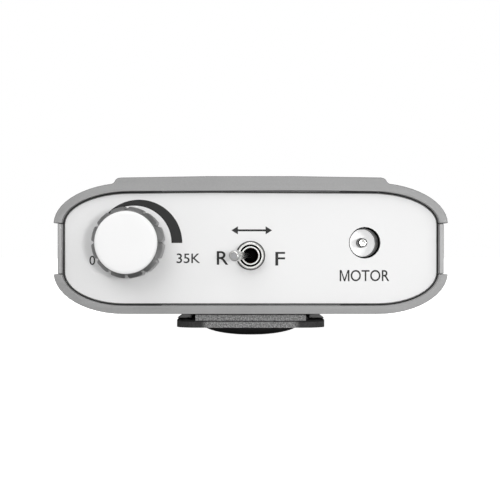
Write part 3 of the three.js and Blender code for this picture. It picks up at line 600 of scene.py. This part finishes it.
def toggle_bat():
    profile = [
        (0, 0.12 - BAT_REACH),
        (0.68, 0.12 - BAT_REACH),
        (0.74, -BAT_REACH),
        *arc(0.4, 0.75, 0.4 - BAT_REACH, -80, 0, 6),
        (1.15, 2.2 - BAT_REACH),
        (1.12, 2.8 - BAT_REACH),
        (0.6, -3.7),
        (0.6, -3.2),
        (0.72, -1.45),
        *arc(1.5, 0, 0, -60, 60, 16),
        (0.72, 1.45),
        (0.72, 7.2),
        (0.4, 7.8),
        (0, 7.9),
    ]
    bm = turned(profile, steps=64)
    spots = [(face, face.calc_center_median()) for face in bm.faces]
    tip = [face for face, spot in spots if spot.y < 0.6 - BAT_REACH and not 0.68 < spot.xz.length < 0.98]
    bmesh.ops.rotate(bm, cent=(0, 0, 0), matrix=Matrix.Rotation(-BAT_TILT, 3, "Z"), verts=bm.verts)
    # The ball, down in the bushing's mouth, takes the painted bore shade.
    for face in bm.faces:
        face.material_index = int(1.0 < face.calc_center_median().length < 1.55)
    # The flat tip face takes the darker, rougher zinc, a painted reflection tone for the grey that the face shows.
    for face in tip:
        face.material_index = 2
    settle(bm, *TOGGLE)
    put("toggle_plated_bat", bm, "toggle_bat", [nickel, painted_bore_shade, zinc], ["toggle_lever"])


# Panels.
PANEL_SHADOW_LINE = 0.22
SOCKET_SHADOW_LINE_END = 4


def panel(node):
    """White faces, with painted shade on their cut edges and a thin painted shadow line round each outline and
    opening.
    """
    bm = merged_copy(node)
    for face in bm.faces:
        face.material_index = int(abs(face.normal.y) < 0.5)
    faces = [face for face in bm.faces if abs(face.normal.y) > 0.9]
    # The inset rim carries the painted shadow line, except round the motor socket.
    rim = bmesh.ops.inset_region(bm, faces=faces, thickness=PANEL_SHADOW_LINE * MM, use_even_offset=True)
    for face in rim["faces"]:
        spot = face.calc_center_median()
        at_socket = node == "front_panel" and (local(spot) - SOCKET).xz.length < SOCKET_SHADOW_LINE_END
        face.material_index = 0 if at_socket else 1
    put(f"{node}_finished", bm, "root", [panel_plastic, painted_edge_shade], [node], smooth_under=30)


# Sockets: a contact sleeve darkened as painted shade and a pale floor in each moulded body, round a split centre
# pin, with painted shade round each bore's mouth; the motor socket's floor also glows.
SOCKET_WALL = 3.2
SOCKET_RIM = 5
SOCKET_DEPTH = 8.2


def socket_body(name, towards):
    """The body, with its bore's wall dark as painted shade, its bore's floor pale and, in the motor socket,
    glowing, and painted shade round its bore's mouth.
    """
    node = f"{name}_body"
    bm = merged_copy(node)
    pin = sum(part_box(f"{name}_pin"), Vector()) / 2
    for face in bm.faces:
        spot = face.calc_center_median()
        spread = math.hypot(spot.x - pin.x, spot.z - pin.z) / MM
        facing_out = face.normal.y * towards > 0.9
        if spread < SOCKET_WALL and abs(face.normal.y) < 0.5:
            face.material_index = 1
        elif facing_out and abs(spot.y - local_floor(name)) < 0.3 * MM:
            face.material_index = 2
        # Front faces round the bore's mouth take the painted bore shade.
        elif facing_out and spread < SOCKET_RIM:
            face.material_index = 3
    body_plastic = socket_plastic if name == "motor_socket" else black_plastic
    finishes = [body_plastic, sleeve_metal_and_shade, glowing_nylon if name == "motor_socket" else black_plastic, painted_bore_shade]
    put(f"{node}_finished", bm, "root", finishes, [node], 0.08)


def local_floor(name):
    """Where the bore's floor is along Y."""
    low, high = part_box(f"{name}_body")
    return low.y + SOCKET_DEPTH * MM if name == "motor_socket" else high.y - SOCKET_DEPTH * MM


def socket_pin(name, node, facing, place):
    low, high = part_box(node)
    length = (high.y - low.y) / MM
    profile = [
        (0, 0.25),
        (0.28, 0.25),
        (0.34, 0.05),
        (0.6, 0),
        *arc(0.3, 0.7, 0.3, -90, 0, 5),
        (1.0, length),
        (0, length),
    ]
    bm = turned(profile, steps=48)
    # The pin's rounded edge and sides take the dark sleeve metal, a painted shade outlining the pin.
    for face in bm.faces:
        spot = face.calc_center_median()
        face.material_index = int(spot.xz.length > 0.75)
    if facing < 0:
        bmesh.ops.rotate(bm, cent=(0, 0, 0), matrix=Matrix.Rotation(math.pi, 3, "Z"), verts=bm.verts)
    tip = local(low).y if facing > 0 else local(high).y
    settle(bm, place.x, tip, place.z)
    put(name, bm, "root", [nickel, sleeve_metal_and_shade], [node])


# Printed marks, a few hundredths of a millimetre thick on the panel's face.
INK = 0.03
LETTER_WEIGHT = 0.006


def add_flat(bm, points):
    """A flat mark through points in x and z, as thick as the ink."""
    face = bm.faces.new([bm.verts.new((x, PANEL_FACE, z)) for x, z in points])
    raised = bmesh.ops.extrude_face_region(bm, geom=[face])["geom"]
    verts = [item for item in raised if isinstance(item, bmesh.types.BMVert)]
    bmesh.ops.translate(bm, vec=(0, -INK, 0), verts=verts)


def add_crescent(bm):
    """The speed scale: two offset half circles that start apart on the right and meet on the left."""
    outer = {"x": KNOB.x + 1.85, "radius": 9.37}
    inner = {"x": KNOB.x + 0.8, "radius": 8.09}
    loops = []
    for circle in (outer, inner):
        start = bm.verts.new((circle["x"] + circle["radius"], PANEL_FACE, KNOB.z - 0.05))
        swept = bmesh.ops.spin(
            bm,
            geom=[start],
            cent=(circle["x"], PANEL_FACE, KNOB.z - 0.05),
            axis=(0, -1, 0),
            angle=math.pi,
            steps=72,
        )
        loops.append(swept)
    bmesh.ops.remove_doubles(bm, verts=bm.verts, dist=1e-5)
    edges = [edge for edge in bm.edges if not edge.link_faces]
    strip = bmesh.ops.bridge_loops(bm, edges=edges)["faces"]
    raised = bmesh.ops.extrude_face_region(bm, geom=strip)["geom"]
    verts = [item for item in raised if isinstance(item, bmesh.types.BMVert)]
    bmesh.ops.translate(bm, vec=(0, -INK, 0), verts=verts)


def add_arrow(bm, centre_x, centre_z, length, head, head_height, shaft):
    """A double-headed arrow."""
    tip, neck = length / 2, length / 2 - head
    half = shaft / 2
    wing = head_height / 2
    right = [(neck, half), (neck, wing), (tip, 0), (neck, -wing), (neck, -half)]
    left = [(-x, -z) for x, z in right]
    add_flat(bm, [(centre_x + x, centre_z + z) for x, z in right + left])


def add_capital_m(bm, centre_x, base_z, height, width, stroke):
    """A plain capital M with upright sides, whose middle reaches its foot."""
    side, slope = width / 2, height - 1.5 * stroke
    right = [(side, 0), (side, height), (side - 1.2 * stroke, height), (0, 1.4 * stroke)]
    inner = [(0.45 * stroke, 0), (side - stroke, slope), (side - stroke, 0)]
    left = [(-x, z) for x, z in reversed(right[:3])]
    inner_left = [(-x, z) for x, z in reversed(inner)]
    outline = right + left + inner_left + inner
    add_flat(bm, [(centre_x + x, base_z + z) for x, z in outline])


def add_word(bm, words, centre_x, base_z, height, width):
    """A word in Blender's own plain font, fitted to a height and a width."""
    text = bpy.data.curves.new("lettering", "FONT")
    text.body = words
    text.resolution_u = 6
    text.extrude = INK / 2
    text.offset = LETTER_WEIGHT
    holder = bpy.data.objects.new("lettering", text)
    bpy.context.scene.collection.objects.link(holder)
    bpy.context.view_layer.update()
    mesh = bpy.data.meshes.new_from_object(holder.evaluated_get(bpy.context.evaluated_depsgraph_get()))
    bpy.data.objects.remove(holder)
    low = Vector([min(v.co[i] for v in mesh.vertices) for i in range(3)])
    high = Vector([max(v.co[i] for v in mesh.vertices) for i in range(3)])
    size = high - low
    fit = Matrix.Diagonal((width / size.x, height / size.y, 1, 1))
    centred = fit @ Matrix.Translation((-(low.x + high.x) / 2, -low.y, 0))
    upright = Matrix.Rotation(math.pi / 2, 4, "X")
    mesh.transform(Matrix.Translation((centre_x, PANEL_FACE - INK / 2, base_z)) @ upright @ centred)
    bm.from_mesh(mesh)
    bpy.data.meshes.remove(mesh)


def panel_print():
    bm = bmesh.new()
    add_crescent(bm)
    add_arrow(bm, 0.23, 4.26, 8.8, 1.4, 1.75, 0.42)
    words = [
        ("0", -34.31, -3.24, 2.0, 1.25),
        ("35K", -13.5, -2.85, 2.1, 5.1),
        ("R", -6.09, -3.2, 2.95, 2.5),
        ("F", 6.39, -3.37, 2.95, 2.1),
        ("OTOR", 25.84, -6.76, 2.43, 8.36),
    ]
    add_capital_m(bm, 20.33, -6.76, 2.43, 2.1, 0.32)
    for word, centre_x, base_z, height, width in words:
        add_word(bm, word, centre_x, base_z, height, width)
    bmesh.ops.recalc_face_normals(bm, faces=bm.faces)
    settle(bm, 0, 0, 0)
    put("panel_print", bm, "root", [print_ink])


# Belt clip: its crowned cushion and its torsion spring.
CROWN_STEPS = 12


def clip_cushion():
    low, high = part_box("clip_cushion")
    half = (high.x - low.x) / 2 / MM
    length = (high.y - low.y) / MM
    height = (high.z - low.z) / MM
    bm = bmesh.new()
    bmesh.ops.create_circle(bm, segments=96, radius=half, cap_ends=True)
    for end in (1, -1):
        verts = [vert for vert in bm.verts if vert.co.y * end > 1e-4]
        bmesh.ops.translate(bm, vec=(0, end * (length / 2 - half), 0), verts=verts)
    raised = bmesh.ops.extrude_face_region(bm, geom=list(bm.faces))["geom"]
    face = [item for item in raised if isinstance(item, bmesh.types.BMFace)]
    reach, drop = 1.0, 0.0
    for step in range(1, CROWN_STEPS + 1):
        next_drop = height * math.sin(math.pi / 2 * step / CROWN_STEPS)
        next_reach = math.sqrt(1 - (next_drop / (height + 0.2)) ** 2)
        inset = half * (reach - next_reach)
        bmesh.ops.inset_region(bm, faces=face, thickness=inset, depth=next_drop - drop, use_even_offset=True)
        reach, drop = next_reach, next_drop
    bmesh.ops.recalc_face_normals(bm, faces=bm.faces)
    bmesh.ops.rotate(bm, cent=(0, 0, 0), matrix=Matrix.Rotation(math.pi, 3, "Y"), verts=bm.verts)
    settle(bm, *local(Vector(((low.x + high.x) / 2, (low.y + high.y) / 2, high.z))))
    put("clip_crowned_cushion", bm, "clip", [cushion_rubber], ["clip_cushion"])


SPRING = {"wire": 0.22, "radius": 0.97, "turns": 19.5, "pitch": 0.48}


def clip_spring():
    """A close-wound torsion spring round the pin, with a leg under the case and one on the lever."""
    wire, radius, turns, pitch = SPRING["wire"], SPRING["radius"], SPRING["turns"], SPRING["pitch"]
    bm = bmesh.new()
    facing = Matrix.Translation((0, 0, radius))
    upright = facing @ Matrix.Rotation(math.pi / 2, 4, "Y")
    verts = bmesh.ops.create_circle(bm, segments=8, radius=wire, matrix=upright)["verts"]
    bmesh.ops.rotate(bm, cent=(0, 0, radius), matrix=Matrix.Rotation(math.pi / 2, 3, "Z"), verts=verts)
    edges = list(bm.edges)
    steps = round(18 * turns)
    end = bmesh.ops.spin(
        bm,
        geom=verts + edges,
        cent=(0, 0, 0),
        axis=(1, 0, 0),
        dvec=(pitch * turns / steps, 0, 0),
        angle=2 * math.pi * turns,
        steps=steps,
    )["geom_last"]
    for loop, reach in ((verts + edges, 5.0), (end, 5.0)):
        grown = bmesh.ops.extrude_edge_only(bm, edges=[e for e in loop if isinstance(e, bmesh.types.BMEdge)])
        tips = [item for item in grown["geom"] if isinstance(item, bmesh.types.BMVert)]
        bmesh.ops.translate(bm, vec=(0, -reach, 0), verts=tips)
        bmesh.ops.contextual_create(bm, geom=[e for e in grown["geom"] if isinstance(e, bmesh.types.BMEdge)])
    bmesh.ops.translate(bm, vec=(-pitch * turns / 2, 0, 0), verts=bm.verts)
    bmesh.ops.recalc_face_normals(bm, faces=bm.faces)
    settle(bm, *HINGE)
    piece = put("clip_coiled_spring", bm, None, [zinc], ["clip_spring"])
    half = pitch * turns / 2
    start, end = (at(HINGE.x + side * half, HINGE.y, HINGE.z) for side in (-1, 1))
    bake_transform(piece)


# ---- Making the object ----
# The shells' and rails' rounded edges take the painted dark edge shade.
refined("upper_shell", [shell_paint, painted_edge_shade], 0.22, edge_shade_material=1)
refined("lower_shell", [shell_paint, painted_edge_shade], 0.22, edge_shade_material=1)
refined("side_rail_left", [rail_plastic, painted_edge_shade], 0.1, edge_shade_material=1)
refined("side_rail_right", [rail_plastic, painted_edge_shade], 0.1, edge_shade_material=1)
panel("front_panel")
panel("rear_panel")
socket_body("motor_socket", -1)
socket_body("charge_socket", 1)
refined("clip_base", [clip_plastic], 0.15)
refined("clip_lever", [speckle], 0.3)
for corner in ("front_left", "front_right", "rear_left", "rear_right"):
    refined(f"case_screw_{corner}", [zinc], 0.08)
for side in ("left", "right"):
    refined(f"clip_screw_{side}", [zinc], 0.06)

knob_grip()
knob_cap()
toggle_bushing()
toggle_bat()
socket_pin("motor_socket_split_pin", "motor_socket_pin", 1, SOCKET)
socket_pin("charge_socket_split_pin", "charge_socket_pin", -1, CHARGER)
panel_print()
clip_cushion()
clip_spring()

# The pieces inside the box keep their own shapes.
INNER_FINISHES = {
    "nickel": nickel,
    "pot_steel": pot_metal,
    "screw_steel": zinc,
    "inner_black": black_plastic,
    "toggle_red": red_plastic,
    "socket_white": socket_plastic,
    "circuit_green": solder_mask,
    "choke_ferrite": copper,
    "lamp_green": lens,
    "cell_wrap": cell_film,
    "wire_red": red_insulation,
    "wire_black": black_insulation,
    "shell_grey": shell_paint,
    "rail_grey": rail_plastic,
    "panel_white": panel_plastic,
    "knob_silver": knob_metal,
    "knob_white": cap_finish,
    "clip_dark": clip_plastic,
    "clip_speckled": speckle,
    "cushion_black": cushion_rubber,
}
for node, piece in NODES.items():
    piece.data.materials.clear()
    piece.data.materials.append(INNER_FINISHES[SLOT_OF[node]])


# ---- Stage, light and camera ----
FLOOR_GLOW = 1.0
FLOOR_HEIGHT = -0.05 * MM


def floor():
    """A pale floor that shows white and throws little light back up."""
    bm = bmesh.new()
    bmesh.ops.create_grid(bm, x_segments=1, y_segments=1, size=3.0)
    mesh = bpy.data.meshes.new("floor")
    bm.to_mesh(mesh)
    bm.free()
    plane = bpy.data.objects.new("floor", mesh)
    plane.location.z = FLOOR_HEIGHT
    bpy.context.scene.collection.objects.link(plane)
    finish = Finish("pale_floor", Roughness=0.7, Base_Color=grey(0.5), Emission_Strength=1.0)
    seen = finish.node("ShaderNodeLightPath", {})
    finish.feed("Emission Color", finish.mix(seen, grey(0), grey(FLOOR_GLOW)))
    mesh.materials.append(finish.material)


def area_light(name, place, aim, size, power):
    lamp = bpy.data.lights.new(name, "AREA")
    lamp.shape = "DISK"
    lamp.size = size
    lamp.energy = power
    holder = bpy.data.objects.new(name, lamp)
    holder.location = place
    holder.rotation_euler = (Vector(aim) - Vector(place)).to_track_quat("-Z", "Y").to_euler()
    bpy.context.scene.collection.objects.link(holder)


def daylight():
    """Even white surroundings that light the object less than they show."""
    world = bpy.data.worlds.new("surroundings")
    bpy.context.scene.world = world
    world.use_nodes = True
    tree = world.node_tree
    backdrop = tree.nodes["Background"]
    backdrop.inputs["Color"].default_value = grey(1.0)
    backdrop.inputs["Strength"].default_value = 1.0
    glow = tree.nodes.new("ShaderNodeBackground")
    glow.inputs["Color"].default_value = grey(1.0)
    glow.inputs["Strength"].default_value = 0.68
    seen = tree.nodes.new("ShaderNodeLightPath")
    blend = tree.nodes.new("ShaderNodeMixShader")
    tree.links.new(seen.outputs["Is Camera Ray"], blend.inputs[0])
    tree.links.new(glow.outputs[0], blend.inputs[1])
    tree.links.new(backdrop.outputs[0], blend.inputs[2])
    tree.links.new(blend.outputs[0], tree.nodes["World Output"].inputs["Surface"])


# The camera's distance from the datum, the width that it sees there and its step to the side, in millimetres.
VIEW_DISTANCE = 298.5
VIEW_WIDTH = 107.76
VIEW_OFFSET = -0.15


def camera():
    lens_data = bpy.data.cameras.new("view")
    lens_data.sensor_width = 36
    lens_data.lens = 36 * VIEW_DISTANCE / VIEW_WIDTH
    lens_data.clip_start = 0.01
    lens_data.clip_end = 20
    holder = bpy.data.objects.new("view", lens_data)
    holder.location = at(VIEW_OFFSET, -VIEW_DISTANCE, 0)
    holder.rotation_euler = (math.pi / 2, 0, 0)
    bpy.context.scene.collection.objects.link(holder)
    bpy.context.scene.camera = holder


floor()
daylight()
area_light("front", at(-180, -820, 380), at(0, 0, 0), 0.45, 1.5)
area_light("low", at(230, -860, 15), at(0, 0, 0), 0.12, 2.6)
area_light("key", at(-420, -620, 520), at(0, 0, 0), 0.45, 0.45)
area_light("fill", at(500, -500, 250), at(0, 40, 0), 0.5, 0.7)
area_light("overhead", at(0, 80, 700), at(0, 60, 0), 0.5, 1.1)
camera()
bpy.context.scene.view_settings.view_transform = "Standard"
